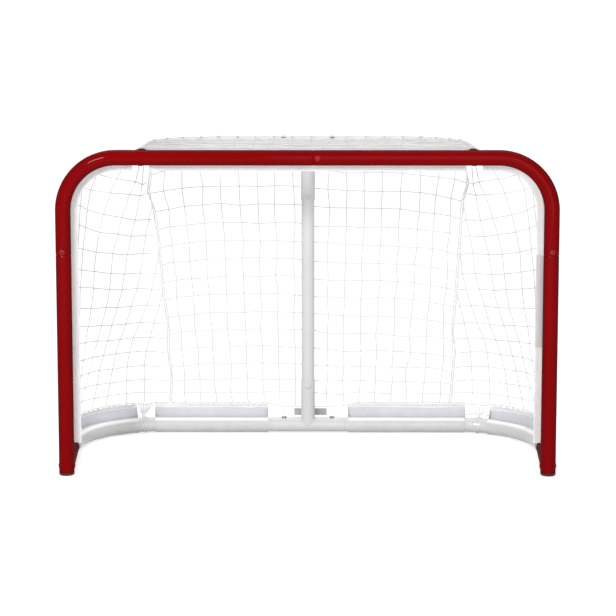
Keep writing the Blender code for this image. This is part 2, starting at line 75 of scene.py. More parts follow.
def anglesRound(count):
    return np.arange(count) * 2 * np.pi / count


def circle(a, first, second):
    # cos a * first + sin a * second, with a row for each angle
    return np.cos(a)[:, None] * first + np.sin(a)[:, None] * second


def arcPoints(x, y, radius, a):
    return pairs(x + radius * np.cos(a), y + radius * np.sin(a))


def metresAlong(path):
    # the length of a path up to each of its points
    steps = np.linalg.norm(np.diff(path, axis=-2), axis=-1)
    return np.concatenate([np.zeros_like(steps[..., :1]), steps.cumsum(-1)], axis=-1)


def mix(a, b, share):
    return a + (b - a) * share


def pairs(x, y):
    return np.stack(np.broadcast_arrays(x, y), axis=-1)


def smoothStep(low, high, value):
    t = np.clip((value - low) / (high - low), 0, 1)
    return t * t * (3 - 2 * t)


def waves(u, v, seed, size, count=7):
    # a smooth random field: sine waves in random directions, their lengths from half to twice the size
    draw = np.random.default_rng(seed)
    total = 0
    for turn, phase, stretch in draw.random((count, 3)):
        length = size * 2 ** (2 * stretch - 1)
        total = total + stretch * np.sin(2 * np.pi * (np.cos(turn * 6.28) * u + np.sin(turn * 6.28) * v) / length
                                         + 6.28 * phase)
    return total / count ** 0.5


# Shapes are dicts of points, quads, triangles and their UVs

def gridShape(points, roundRows=False, ends=None, u=None, v=None):
    # quads between neighbouring points of each grid, whose rows are rings; ends holds the two points that close its
    # first and last row
    points = points if points.ndim == 4 else points[None]
    count, rows, columns = points.shape[:3]
    index = np.arange(count * rows * columns).reshape(count, rows, columns)
    index = np.concatenate([index, index[:, :1]], axis=1) if roundRows else index
    index = np.concatenate([index, index[:, :, :1]], axis=2)
    tall, wide = index.shape[1:]
    u = np.linspace(0, 1, wide) if u is None else u
    v = np.linspace(0, 1, tall) if v is None else v
    spots = pairs(u, np.broadcast_to(v, (count, tall))[..., None])

    def around(a):
        return np.stack([a[:, :-1, :-1], a[:, :-1, 1:], a[:, 1:, 1:], a[:, 1:, :-1]], axis=3)
    shape = dict(points=points.reshape(-1, 3), quads=around(index).reshape(-1, 4),
                 quadUv=around(spots).reshape(-1, 4, 2), tris=np.zeros((0, 3), int), triUv=np.zeros((0, 3, 2)))
    if ends is not None:
        ends = np.asarray(ends, float).reshape(count, 2, 3)
        pole = len(shape["points"]) + np.arange(count * 2).reshape(count, 2, 1)
        pole = np.broadcast_to(pole, (count, 2, wide - 1))
        first = np.stack([pole[:, 0], index[:, 0, 1:], index[:, 0, :-1]], axis=-1)
        last = np.stack([pole[:, 1], index[:, -1, :-1], index[:, -1, 1:]], axis=-1)
        firstUv = np.stack([spots[:, 0, :-1], spots[:, 0, 1:], spots[:, 0, :-1]], axis=-2)
        lastUv = np.stack([spots[:, -1, :-1], spots[:, -1, :-1], spots[:, -1, 1:]], axis=-2)
        shape["points"] = np.concatenate([shape["points"], ends.reshape(-1, 3)])
        shape["tris"] = np.concatenate([first.reshape(-1, 3), last.reshape(-1, 3)])
        shape["triUv"] = np.concatenate([firstUv.reshape(-1, 3, 2), lastUv.reshape(-1, 3, 2)])
    return outward(shape)


def turnedOver(shape):
    return dict(shape, quads=shape["quads"][:, ::-1], quadUv=shape["quadUv"][:, ::-1],
                tris=shape["tris"][:, ::-1], triUv=shape["triUv"][:, ::-1])


def outward(shape):
    # the faces point outwards when the volume under them, summed face by face, is positive
    p, q, t = shape["points"], shape["quads"], shape["tris"]
    fans = np.concatenate([q[:, [0, 1, 2]], q[:, [0, 2, 3]], t])
    volume = (p[fans[:, 0]] * np.cross(p[fans[:, 1]], p[fans[:, 2]])).sum()
    return shape if volume > 0 else turnedOver(shape)


def mirrored(shape, side=-1):
    if side > 0:
        return shape
    return turnedOver(dict(shape, points=shape["points"] * flip))


def together(*shapes):
    start = np.cumsum([0] + [len(s["points"]) for s in shapes])
    moved = [dict(s, quads=s["quads"] + k, tris=s["tris"] + k) for s, k in zip(shapes, start)]
    return {key: np.concatenate([s[key] for s in moved]) for key in moved[0]}


def linked(name, data):
    made = bpy.data.objects.new(name, data)
    bpy.context.scene.collection.objects.link(made)
    return made


def addPiece(name, shape, material, stands, smooth=38, slot=None):
    mesh = bpy.data.meshes.new(name)
    mesh.from_pydata(shape["points"].tolist(), [], shape["quads"].tolist() + shape["tris"].tolist())
    layer = mesh.uv_layers.new(name="laid")
    layer.data.foreach_set("uv", np.concatenate([shape["quadUv"].ravel(), shape["triUv"].ravel()]))
    mesh.materials.append(material)
    mesh.shade_smooth()
    mesh.set_sharp_from_angle(angle=np.radians(smooth))
    piece = linked(name, mesh)
    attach(piece, "root")
    if stands:
        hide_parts(*stands)
    slot or slots[stands[0]]
    return piece


# Surface finishes

def addNode(tree, kind, values=None, **settings):
    made = tree.nodes.new("ShaderNode" + kind)
    for key, value in settings.items():
        setattr(made, key, value)
    fill(tree, made, values or {})
    return made


def fill(tree, node, values):
    # each value is another node's socket, a number, or a colour of three numbers
    for key, value in values.items():
        socket = node.inputs[key]
        if isinstance(value, bpy.types.NodeSocket):
            tree.links.new(value, socket)
        else:
            socket.default_value = (*value, 1) if socket.type == "RGBA" else value


def maths(tree, operation, a, b=0.0, c=0.0):
    return addNode(tree, "Math", {0: a, 1: b, 2: c}, operation=operation).outputs[0]


def ramp(tree, value, low, high):
    # 0 at low and 1 at high, which may be the smaller of the two
    return addNode(tree, "MapRange", {"Value": value, "From Min": low, "From Max": high}).outputs[0]


def ridges(tree, value):
    # rounded ridges, one for each whole number
    return maths(tree, "ABSOLUTE", maths(tree, "SINE", maths(tree, "MULTIPLY", value, 3.14159)))


def newGroup(name, inputs, outputs):
    # a group that takes a Vector and the named numbers
    tree = bpy.data.node_groups.new(name, "ShaderNodeTree")
    tree.interface.new_socket(name="Vector", in_out="INPUT", socket_type="NodeSocketVector")
    for label, value in inputs.items():
        tree.interface.new_socket(name=label, in_out="INPUT", socket_type="NodeSocketFloat").default_value = value
    for label in outputs:
        tree.interface.new_socket(name=label, in_out="OUTPUT", socket_type="NodeSocketFloat")
    return tree, tree.nodes.new("NodeGroupInput").outputs, tree.nodes.new("NodeGroupOutput")


def mottleGroup():
    # two sizes of cloudiness over the object, as a mask from 0 to 1 and a height
    tree, given, result = newGroup("mottle", {"Large": 8.0, "Fine": 600.0}, ["Mask", "Height"])
    large = addNode(tree, "TexNoise", {"Vector": given["Vector"], "Scale": given["Large"], "Detail": 3.0})
    fine = addNode(tree, "TexNoise", {"Vector": given["Vector"], "Scale": given["Fine"], "Detail": 1.0})
    fill(tree, result, {"Mask": ramp(tree, large.outputs["Fac"], 0.3, 0.7), "Height": fine.outputs["Fac"]})
    return tree


def weaveGroup():
    # plain weave: rounded threads both ways, and a chequer that says which one lies on top
    tree, given, result = newGroup("weave", {"Threads per metre": 1400.0}, ["Height"])
    scaled = addNode(tree, "VectorMath", {0: given["Vector"], "Scale": given["Threads per metre"]},
                     operation="SCALE").outputs[0]
    parts = addNode(tree, "SeparateXYZ", {0: scaled}).outputs
    over = addNode(tree, "TexChecker", {"Vector": scaled, "Scale": 1.0}).outputs["Fac"]
    warp = maths(tree, "MULTIPLY", ridges(tree, parts[0]), maths(tree, "MULTIPLY_ADD", over, 0.5, 0.5))
    weft = maths(tree, "MULTIPLY", ridges(tree, parts[1]), maths(tree, "MULTIPLY_ADD", over, -0.5, 1.0))
    fill(tree, result, {"Height": maths(tree, "MAXIMUM", warp, weft)})
    return tree


def yarnGroup():
    # twisted yarn: plies that wind round the cord; U runs round it and V along it in metres
    tree, given, result = newGroup("yarn", {"Plies": 3.0, "Turns per metre": 160.0}, ["Height"])
    parts = addNode(tree, "SeparateXYZ", {0: given["Vector"]}).outputs
    wound = maths(tree, "ADD", maths(tree, "MULTIPLY", parts[0], given["Plies"]),
                  maths(tree, "MULTIPLY", parts[1], given["Turns per metre"]))
    fill(tree, result, {"Height": ridges(tree, wound)})
    return tree


mottle, weave, yarn = mottleGroup(), weaveGroup(), yarnGroup()


def newMaterial(name, roughness, **fixed):
    material = bpy.data.materials.new(name)
    material.use_nodes = True
    tree = material.node_tree
    shader = tree.nodes["Principled BSDF"]
    fill(tree, shader, {"Roughness": roughness})
    fill(tree, shader, {key.replace("_", " "): value for key, value in fixed.items()})
    return material, tree, shader, addNode(tree, "TexCoord").outputs


def placed(tree, group, vector, **numbers):
    values = {key.replace("_", " "): value for key, value in numbers.items()}
    return addNode(tree, "Group", {"Vector": vector, **values}, node_tree=group).outputs


def blended(tree, factor, first, second):
    return addNode(tree, "Mix", {"Factor": factor, 6: first, 7: second}, data_type="RGBA").outputs[2]


def bumped(tree, height, distance, strength=1.0):
    return addNode(tree, "Bump", {"Height": height, "Distance": distance, "Strength": strength}).outputs[0]


def paint(name, color, darker, roughness, level, coat=0.0, fine=500.0, distance=0.00006, rim=1.0):
    # sprayed gloss: slightly uneven colour and shine, a faint orange peel, and painted shade: the colour moves to rim
    # times the second tone where the surface turns away from the view
    material, tree, shader, where = newMaterial(name, roughness, Specular_IOR_Level=level, Coat_Weight=coat,
                                                Coat_Roughness=0.045)
    cloud = placed(tree, mottle, where["Object"], Large=9.0, Fine=fine)
    # painted shade at the edges: the facing mask, raised to 1.5, blends the tone towards rim times the second tone
    paintedEdgeShade = addNode(tree, "LayerWeight", {"Blend": 0.5}).outputs["Facing"]
    tone = blended(tree, cloud["Mask"], color, darker)
    fill(tree, shader, {
        "Base Color": blended(tree, maths(tree, "POWER", paintedEdgeShade, 1.5), tone, tuple(rim * c for c in darker)),
        "Roughness": maths(tree, "MULTIPLY_ADD", cloud["Mask"], 0.06, roughness - 0.03),
        "Normal": bumped(tree, cloud["Height"], distance)})
    return material


def cloth(name, color, darker, threads, distance=0.0003, depth=0.75, clear=0.5):
    # woven cloth: threads laid along the piece's own UV, with a cloudy tone and painted shade in the gaps between the
    # threads; some light passes through it
    material, tree, shader, where = newMaterial(
        name, 0.85, Specular_IOR_Level=0.25, Sheen_Weight=0.15, Subsurface_Weight=clear, Subsurface_Radius=(1, 1, 1),
        Subsurface_Scale=0.004)
    cloud = placed(tree, mottle, where["Object"], Large=30.0, Fine=300.0)
    woven = placed(tree, weave, where["UV"], Threads_per_metre=threads)
    tone = blended(tree, cloud["Mask"], color, darker)
    # painted shade: the gaps between the threads take depth times the second tone
    threadGapShade = tuple(depth * c for c in darker)
    fill(tree, shader, {"Base Color": blended(tree, woven["Height"], threadGapShade, tone),
                        "Normal": bumped(tree, woven["Height"], distance, 0.7)})
    return material


def cordFinish(name, color, darker, twist):
    material, tree, shader, where = newMaterial(name, 0.7, Specular_IOR_Level=0.3, Sheen_Weight=0.1)
    wound = placed(tree, yarn, where["UV"], Plies=3.0, Turns_per_metre=twist)
    # painted shade: the colour darkens to the second tone in the valleys between the plies
    fill(tree, shader, {"Base Color": blended(tree, wound["Height"], darker, color),
                        "Normal": bumped(tree, wound["Height"], 0.0004)})
    return material


def zincFinish():
    material, tree, shader, where = newMaterial("zincSteel", 0.35, Metallic=1.0)
    cloud = placed(tree, mottle, where["Object"], Large=400.0, Fine=2500.0)
    fill(tree, shader, {"Base Color": blended(tree, cloud["Mask"], (0.33, 0.33, 0.36), (0.22, 0.22, 0.24)),
                        "Normal": bumped(tree, cloud["Height"], 0.00005)})
    return material


# the red paint's edges blend to a quarter of its second tone: painted shade
redPaint = paint("redPaint", (0.22, 0.0, 0.001), (0.198, 0.0, 0.001), 0.2, 0.0, 0.08, rim=0.25)
whitePaint = paint("whitePaint", (0.675, 0.675, 0.675), (0.63, 0.63, 0.635), 0.2, 0.5)
blackPlastic = paint("blackPlastic", (0.02, 0.017, 0.017), (0.03, 0.027, 0.027), 0.42, 0.4, 0.0, 1500.0, 0.0001)
redSteel = paint("redSteel", (0.30, 0.008, 0.008), (0.24, 0.004, 0.004), 0.18, 0.1, 0.15)
zincSteel = zincFinish()
netCord = cordFinish("netCord", (0.84, 0.84, 0.84), (0.72, 0.72, 0.73), 170.0)
borderCord = cordFinish("borderCord", (0.92, 0.92, 0.92), (0.83, 0.83, 0.84), 110.0)
hemCloth = cloth("hemCloth", (0.97, 0.965, 0.97), (0.955, 0.95, 0.955), 1300.0, depth=0.97, clear=0.65)
tabTape = cloth("tabTape", (0.62, 0.615, 0.64), (0.40, 0.395, 0.415), 700.0, 0.0006, clear=0.0)
flapTape = cloth("flapTape", (0.80, 0.785, 0.79), (0.74, 0.73, 0.735), 700.0, 0.0006, 0.85)
print("finishes made")


# Routes: a straight run, an arc from the first direction towards the second, and a straight run beyond

def bentRoute(start, way, turnWay=None, straight=1.0, radius=1.0, angle=0.0):
    turnWay = (back if abs(way[0]) > 0.9 else across) if turnWay is None else turnWay

    def route(s):
        s = np.asarray(s, float)[..., None]
        t = np.clip((s - straight) / radius, 0, angle)
        beyond = np.maximum(s - straight - radius * angle, 0)
        ahead = np.cos(t) * way + np.sin(t) * turnWay
        place = start + way * np.minimum(s, straight) + radius * (np.sin(t) * way + (1 - np.cos(t)) * turnWay)
        return place + beyond * ahead, ahead, np.cos(t) * turnWay - np.sin(t) * way
    route.bend = (straight, straight + radius * angle) if angle else None
    return route


def ringsAlong(centre, ahead, side, radius, sides):
    # ring = centre + radius * (cos a * side + sin a * third), where third = ahead x side
    side = unit(side - dot(side, ahead) * ahead)
    third = np.cross(ahead, side)
    radius = np.broadcast_to(radius, centre.shape[:-1])[..., None, None]
    return centre[..., None, :] + radius * circle(anglesRound(sides), side[..., None, :], third[..., None, :])


def tubeShape(route, length, spigots=(0, 0), radius=tubeRadius):
    # a closed loop of (distance, radius) carried round the route: outside, rounded lip, bore, rounded lip
    (first, last), wall, swage = spigots, goal["wall"], goal["swage"]
    slim, lip = radius - wall - fitGap, wall / 2
    stops = [-first + lip, length + last - lip]
    if first:
        stops += [0, swage, swage + 0.0004]
    if last:
        stops += [length, length - swage, length - swage - 0.0004]
    if route.bend:
        stops += list(np.arange(route.bend[0], route.bend[1] + 1e-6, (route.bend[1] - route.bend[0]) / 34))
    stops += list(np.linspace(stops[0], stops[1], 9)) + [stops[0] + 0.0005, stops[1] - 0.0005]
    s = np.unique(np.round(stops, 5))
    s = s[np.concatenate([[True], np.diff(s) > 0.0003])]
    r = np.interp(s, [0, swage, length - swage, length],
                  [slim if first else radius, radius, radius, slim if last else radius])
    outside = pairs(s, r)
    a = np.radians([45, 0, -45])
    s, r = np.concatenate([outside, arcPoints(s[-1], r[-1] - lip, lip, a), outside[::-1] - [0, wall],
                           arcPoints(s[0], r[0] - lip, lip, a + np.pi)]).T
    place, ahead, side = route(s)
    return gridShape(ringsAlong(place, ahead, side, r, goal["sides"]), roundRows=True)


def stubShape(foot, way, length, mainWay):
    # a tube whose foot follows the main tube: it starts at height sqrt(R^2 - (r sin a)^2) over the main axis
    a = anglesRound(goal["sides"])
    out = circle(a, mainWay, np.cross(way, mainWay))
    outer, bore, main = tubeRadius - 0.0002, tubeRadius - goal["wall"], tubeRadius - 0.0004
    rows = []
    for r, shares in ((outer, [0, 0.3, 0.65, 0.97, 1 - 0.0005 / length]), (bore, [1 - 0.0002 / length, 0.6, 0])):
        near = np.sqrt(np.maximum(main ** 2 - (r * np.sin(a)) ** 2, 0))
        for share in shares:
            shrink = 0.0003 if r == outer and share > 0.99 else 0
            rows.append(foot + (r - shrink) * out + mix(near, length, share)[:, None] * way)
    return gridShape(np.array(rows), roundRows=True)


weld = dict(thick=0.0017, sunk=0.0002, puddles=44, ripple=0.13, drift=0.08)


def beadShape(foot, way, mainWay, seed):
    # weld bead: a ring of round section on the saddle between two tubes, with a ripple for each puddle
    a = anglesRound(4 * weld["puddles"])
    high = np.sqrt(np.maximum(tubeRadius ** 2 - ((tubeRadius - 0.0004) * np.sin(a)) ** 2, 0)) + weld["sunk"]
    out = circle(a, mainWay, np.cross(way, mainWay))
    path = foot + out * (tubeRadius - weld["sunk"]) + high[:, None] * way
    ahead = unit(np.roll(path, -1, axis=0) - np.roll(path, 1, axis=0))
    uneven = weld["ripple"] * np.sin(weld["puddles"] * a) + weld["drift"] * waves(a, 0 * a, seed, 1.3)
    return gridShape(ringsAlong(path, ahead, out, weld["thick"] * (1 + uneven), 9), roundRows=True)


head = dict(radius=0.0055, height=0.0032, edge=0.0008, bevel=0.0002, shank=0.0024, length=0.014, tip=0.004,
            tipRadius=0.0004, flats=0.0035, recess=0.0016)


def screwShape(seat, outwards, sides=24):
    # button head turned about its axis; the rings of the recess change from round to six flats
    w = unit(np.asarray(outwards, float))
    u = unit(np.cross(w, [0.3, 0.5, 0.8]))
    a = anglesRound(sides)
    six = np.cos(np.pi / 6) / np.cos((a % (np.pi / 3)) - np.pi / 6) * head["flats"] / np.sqrt(3)
    dome = np.radians([0, 18, 36, 52, 64, 74])
    high = head["edge"] + (head["height"] - head["edge"]) * np.sin(dome)
    bevel, top = head["bevel"], head["height"]
    rings = [(head["tipRadius"], -head["length"]), (head["shank"], head["tip"] - head["length"]), (head["shank"], 0),
             (head["radius"] - bevel, 0), (head["radius"], bevel), (head["radius"], head["edge"] - bevel)]
    radius, level = np.array(rings + list(zip(head["radius"] * np.cos(dome), high))).T
    radius = np.concatenate([radius[:, None] * np.ones(sides), [six * 1.12, six, six * 0.97]])
    level = fitGap + np.concatenate([level, [top - 0.00005, top - 0.0003, top - head["recess"]]])
    rows = seat + level[:, None, None] * w + radius[..., None] * circle(a, u, np.cross(w, u))
    ends = [seat + (fitGap - head["length"] - 0.0003) * w, seat + (fitGap + top - head["recess"] - 0.0003) * w]
    return gridShape(rows, ends=[ends])


def turnedShape(centre, profile):
    # a profile of (radius, height) carried round Z, closed at both poles
    r, z = np.array(profile).T
    path = centre + z[:, None] * up
    rings = ringsAlong(path, 0 * path + up, 0 * path + across, r, goal["sides"])
    return gridShape(rings, ends=[[centre + up * z[0], centre + up * z[-1]]])


# Steel frame

baseWay = np.array([np.sin(baseFlare), np.cos(baseFlare), 0])
baseIn = np.array([-np.cos(baseFlare), np.sin(baseFlare), 0])
baseStraight = goal["baseSocket"] + goal["socketToBend"]
baseRadius = (baseDepth - baseStraight * np.cos(baseFlare)) / (1 + np.sin(baseFlare))
baseTurn = np.pi / 2 + baseFlare
baseCentreX = postX + baseWay[0] * baseStraight + baseIn[0] * baseRadius
topStraight = topDepth - topRadius
teeBase, teeTop = at(0, baseDepth, baseZ), at(0, topDepth, barZ)
centreWay = unit(teeTop - teeBase)
centreFront = -unit(back - centreWay * np.dot(back, centreWay))


def frontRoute(z):
    # axis of the front frame from a height on the right post round the corner and along the crossbar
    return bentRoute(at(postX, 0, z), up, -across, barZ - cornerRadius - z, cornerRadius, np.pi / 2)


def bothSides(name, shape, material, node):
    addPiece(name + "Left", mirrored(shape), material, [node + "_left"])
    addPiece(name + "Right", shape, material, [node + "_right"])


postFoot, socketFoot = goal["capHeight"] + fitGap, at(postX, 0, baseZ)
postShape = together(
    tubeShape(bentRoute(at(postX, 0, postFoot), up), goal["seamHeight"] - postFoot, (0, goal["spigot"])),
    stubShape(socketFoot, baseWay, goal["baseSocket"], up),
    beadShape(socketFoot, baseWay, up, 3),
)
bothSides("post", postShape, redPaint, "post")

route = frontRoute(goal["seamHeight"] + fitGap)
socket = at(topHalf, 0, barZ)
for side, endX, spigot in ((-1, -goal["barSeamX"], goal["spigot"]), (1, goal["barSeamX"] + fitGap, 0)):
    length = route.bend[1] + postX - cornerRadius - endX
    shape = together(
        tubeShape(route, length, (0, spigot)),
        stubShape(socket, back, goal["topSocket"], across),
        beadShape(socket, back, across, 5 + side),
    )
    addPiece("corner" + words[side].capitalize(), mirrored(shape, side), redPaint, ["corner_" + words[side]])

# foot caps: a shallow dish, a rounded edge, and a plug in the tube
cap = dict(dish=0.012, round=0.0015, bevel=0.0003, top=goal["capHeight"], plug=0.018, plugBevel=0.0005)
capEdge = arcPoints(tubeRadius - cap["round"], cap["round"], cap["round"], np.radians([-68, -45, -22, 0]))
capProfile = [
    (cap["dish"], 0), (cap["dish"] + 0.0002, 0.0006), *capEdge,
    (tubeRadius, cap["top"] - cap["bevel"]), (tubeRadius - cap["bevel"], cap["top"]), (spigotRadius, cap["top"]),
    (spigotRadius, cap["plug"] - cap["plugBevel"]), (spigotRadius - cap["plugBevel"], cap["plug"])]
bothSides("footCap", turnedShape(at(postX, 0, 0), capProfile), blackPlastic, "foot_cap")

route = bentRoute(socketFoot + baseWay * (goal["baseSocket"] + fitGap), baseWay, baseIn,
                  goal["socketToBend"] - fitGap, baseRadius, baseTurn)
length = route.bend[1] + baseCentreX - goal["teeHalf"] - fitGap
bothSides("floorTube", tubeShape(route, length, (goal["spigot"],) * 2), whitePaint, "base_tube")

route = bentRoute(at(topHalf, goal["topSocket"] + fitGap, barZ), back, -across,
                  topStraight - goal["topSocket"] - fitGap, topRadius, np.pi / 2)
length = route.bend[1] + topHalf - topRadius - goal["teeHalf"] - fitGap
ends = goal["topSocket"] - tubeRadius - goal["socketEnd"], goal["spigot"]
bothSides("topTube", tubeShape(route, length, ends), whitePaint, "top_tube")

for name, node, axis, way, stub in (("floorTee", "base_tee", teeBase, centreWay, goal["baseStub"]),
                                    ("topTee", "top_tee", teeTop, -centreWay, goal["topStub"])):
    shape = together(
        tubeShape(bentRoute(axis - across * goal["teeHalf"], across), 2 * goal["teeHalf"]),
        stubShape(axis, way, stub, across),
        beadShape(axis, way, across, len(name)),
    )
    addPiece(name, shape, whitePaint, [node])
lower = teeBase + centreWay * (goal["baseStub"] - goal["overlap"])
upper = teeTop - centreWay * (goal["topStub"] - goal["overlap"])
addPiece("centrePost", tubeShape(bentRoute(lower, centreWay), np.linalg.norm(upper - lower), radius=spigotRadius),
         whitePaint, ["centre_post"])

# screws: each as (its place on a tube's axis, the way that it points, its finish)
fromEnd = dict(seam=0.008, tee=0.0265, socket=0.014, stub=0.010)
screws = {
    "crossbar": (at(goal["barSeamX"] + fromEnd["seam"], 0, barZ), -back, redSteel),
    "base_tee_stub": (teeBase + centreWay * (goal["baseStub"] - fromEnd["stub"]), centreFront, whitePaint),
    "top_tee_stub": (teeTop - centreWay * (goal["topStub"] - fromEnd["stub"]), centreFront, whitePaint),
}
for side, word in ((1, "right"), (flip, "left")):
    socket = socketFoot + baseWay * (goal["baseSocket"] - fromEnd["socket"])
    screws["post_" + word] = (side * at(postX, 0, goal["seamHeight"] + fromEnd["seam"]), -back, redSteel)
    screws["base_socket_" + word] = (side * socket, side * -baseIn, redSteel)
    screws["top_socket_" + word] = (side * at(topHalf, goal["topSocket"] - fromEnd["socket"], barZ), -up, redSteel)
    for tee, axis in (("base", teeBase), ("top", teeTop)):
        screws[f"{tee}_tee_{word}"] = (axis + side * across * (goal["teeHalf"] - fromEnd["tee"]), up, zincSteel)
for node, (place, way, material) in screws.items():
    name = "screw" + node.title().replace("_", "")
    addPiece(name, screwShape(place + way * tubeRadius, way), material, ["screw_" + node])
print("steel frame made:", len(screws), "screws")


# Net: grids of knots, with strands drawn smoothly through them

net = dict(strand=0.0019, bead=0.0019, standoff=0.0171, frontDepth=0.0182, seamTurn=np.radians(22), seamX=0.298,
           borderZ=0.0614, borderDip=0.009, panelMiddle=0.0155, wobble=0.0012, steps=5, pitch=0.0381,
           frontPitch=0.0352, footPitch=0.0339, footEnds=(-0.293, 0.303), sag=0.007, seamGap=0.004, seamFoot=0.0142,
           rowsZ=[0.6125, 0.5736, 0.5347, 0.4958, 0.4569, 0.418, 0.3791, 0.3402, 0.3013, 0.2624, 0.2245, 0.187, 0.149,
                  0.114, 0.084, 0.0614])
standoff = net["standoff"]
seamAlong = topStraight + topRadius * net["seamTurn"]
sleeve = dict(inner=0.0155, outer=0.0167, ply=0.0012, top=goal["sleeveTop"] - baseZ, backX=0.086,
              wrapEnd=0.0957, rim=0.1312, binding=0.0095, crest=0.0685, crestWidth=0.0065, cut=0.181,
              backEnd={-1: 0.328, 1: 0.336}, sideStart={-1: np.radians(17), 1: np.radians(25)},
              stitches=[0.0035, 0.0065], seeds=dict(side=62, back=65),
              creases=dict(side=(0.05, 0.0006), back=(0.11, 0.0002)), ripple=0.0003, lean=0.0012, sag=0.0014)


def smoothThrough(points, steps):
    # Catmull-Rom curve through the points of the second last axis, as many steps between each two
    ghost = np.concatenate([2 * points[..., :1, :] - points[..., 1:2, :], points,
                            2 * points[..., -1:, :] - points[..., -2:-1, :]], axis=-2)
    a, b, c, d = (ghost[..., i:ghost.shape[-2] - 3 + i, None, :] for i in range(4))
    t = (np.arange(steps) / steps)[:, None]
    inner = 0.5 * (2 * b + (c - a) * t + (2 * a - 5 * b + 4 * c - d) * t ** 2 + (3 * b - a - 3 * c + d) * t ** 3)
    inner = inner.reshape(*points.shape[:-2], -1, 3)
    return np.concatenate([inner, points[..., -1:, :]], axis=-2)


def pushedOut(points):
    # a point nearer to a tube's axis than standoff moves straight out to that distance
    flat = points.reshape(-1, 3)
    for line in frameAxes:
        ahead = unit(np.gradient(line, axis=0))
        nearest = ((flat[:, None] - line[None]) ** 2).sum(-1).argmin(1)
        away = flat - line[nearest]
        away -= dot(away, ahead[nearest]) * ahead[nearest]
        length = np.linalg.norm(away, axis=1, keepdims=True)
        flat = np.where(length < standoff, flat + away / length * (standoff - length), flat)
    return flat.reshape(points.shape)


def strandShape(path, side, radius, sides=6):
    # cords of round section along many paths at once; V counts metres along each cord
    path = path if path.ndim == 3 else path[None]
    ahead = unit(np.gradient(path, axis=-2))
    rings = ringsAlong(path, ahead, np.broadcast_to(side, path.shape), radius, sides)
    return gridShape(rings, ends=path[:, [0, -1]], v=metresAlong(path))


def knotShape(centre, first, second, size):
    # small flattened beads over the crossings: rings of 6 points at three heights, closed by two poles
    normal = unit(np.cross(first, second))
    first = unit(first)
    long = circle(anglesRound(6), first[:, None], np.cross(normal, first)[:, None])
    rows = [centre[:, None] + size * (w * long + h * normal[:, None]) for w, h in ((0.75, -0.55), (1, 0), (0.75, 0.55))]
    ends = np.stack([centre - size * 0.75 * normal, centre + size * 0.75 * normal], axis=1)
    return gridShape(np.stack(rows, axis=1), ends=ends)


# axes of the right rail of the top tube from the front, of its rear from the middle, and of the floor tube likewise
railRoute = bentRoute(at(topHalf, 0, barZ), back, -across, topStraight, topRadius, np.pi / 2)
rearRoute = bentRoute(at(0, topDepth, barZ), across, -back, topHalf - topRadius, topRadius, np.pi / 2)
floorRoute = bentRoute(at(0, baseDepth, baseZ), across, -back, baseCentreX, baseRadius, baseTurn)
frontAxis = frontRoute(0)


def beside(route, along, away, z):
    # points at a distance outwards from a tube's axis, at the height z; negative metres along it count to the left
    place, ahead, inward = route(np.abs(along))
    points = place - inward * np.asarray(away)[..., None]
    points[..., 0] *= np.where(np.less(along, 0), -1, 1)
    points[..., 2] = z
    return points


# where the photograph shows each seam wander, as (height, way outwards) in metres
seamWander = {
    -1: ([0.064, 0.126, 0.190, 0.239, 0.312, 0.433, 0.511, 0.530, 0.577, 0.6246],
         [0.000, -0.008, -0.005, -0.011, -0.006, -0.007, -0.001, 0.006, -0.003, 0.000]),
    1: ([0.064, 0.178, 0.219, 0.312, 0.411, 0.515, 0.552, 0.577, 0.6246],
        [0.010, 0.009, 0.001, 0.001, -0.001, -0.002, 0.005, -0.003, 0.000]),
}


def seamPoints(side, z):
    # from outside the top tube's bend straight down to the floor tube, with the wander added
    top = beside(railRoute, seamAlong, standoff + net["strand"], barZ)
    foot = at(net["seamX"], baseDepth + net["seamFoot"], net["borderZ"])
    points = mix(top, foot, ((barZ - z) / (barZ - net["borderZ"]))[:, None])
    points[:, 0] += np.interp(z, *seamWander[side])
    return points * [side, 1, 1]


def mainGrid():
    # rows 0 to 6 lie over the top from the crossbar to the rear tube, the others hang down behind
    k = np.arange(-9, 10)
    rearAlong = net["pitch"] * k + 0.006 + np.where(k < 0, -0.0085, -0.0035) * np.clip((np.abs(k) - 6) / 3, 0, 1)
    rowsZ = np.array(net["rowsZ"])
    rear = beside(rearRoute, rearAlong, -0.003, barZ + standoff)
    front = at(net["frontPitch"] * k, net["frontDepth"], barZ + 0.012)
    right = beside(railRoute, np.linspace(net["frontDepth"], seamAlong, 7), -0.004, barZ + standoff)
    left = right * flip
    v, u = np.linspace(0, 1, 7)[:, None, None], np.linspace(0, 1, 19)[None, :, None]
    top = (mix(front, rear, v) + mix(left[:, None], right[:, None], u)
           - mix(mix(front[0], front[-1], u), mix(rear[0], rear[-1], u), v))
    # the level part sags a little between the rails
    top[..., 2] -= (net["sag"] * np.sin(np.pi * v) * np.sin(np.pi * u))[..., 0]
    upper = beside(rearRoute, rearAlong, standoff, barZ)
    footX = 0.007 + net["footPitch"] * k
    footX[[0, -1]] = net["footEnds"]
    lower = at(footX, baseDepth + net["panelMiddle"], net["borderZ"])
    fade = np.clip((rowsZ - net["borderZ"]) / 0.12, 0, 1)[:, None]
    drop = 0.010 * smoothStep(-0.08, 0.095, upper[:, 0]) + np.where(k < 0, 0.006, 0.012) * (np.abs(k) / 9) ** 3
    z = rowsZ[:, None] - drop * fade
    hung = mix(upper, lower, ((barZ - z) / (barZ - net["borderZ"]))[..., None])
    hung[..., 2] = z
    for column, side in ((0, -1), (-1, 1)):
        hung[:, column] = seamPoints(side, z[:, column]) - side * across * net["seamGap"]
    for column, side, weight in ((1, -1, 0.5), (-2, 1, 0.5), (2, -1, 0.2), (-3, 1, 0.2)):
        hung[:, column, 0] += weight * side * np.interp(z[:, column], *seamWander[side])
    hung[-1, :, 2] -= net["borderDip"] * smoothStep(0.088, 0.07, np.abs(hung[-1, :, 0]))
    return np.concatenate([top, hung])


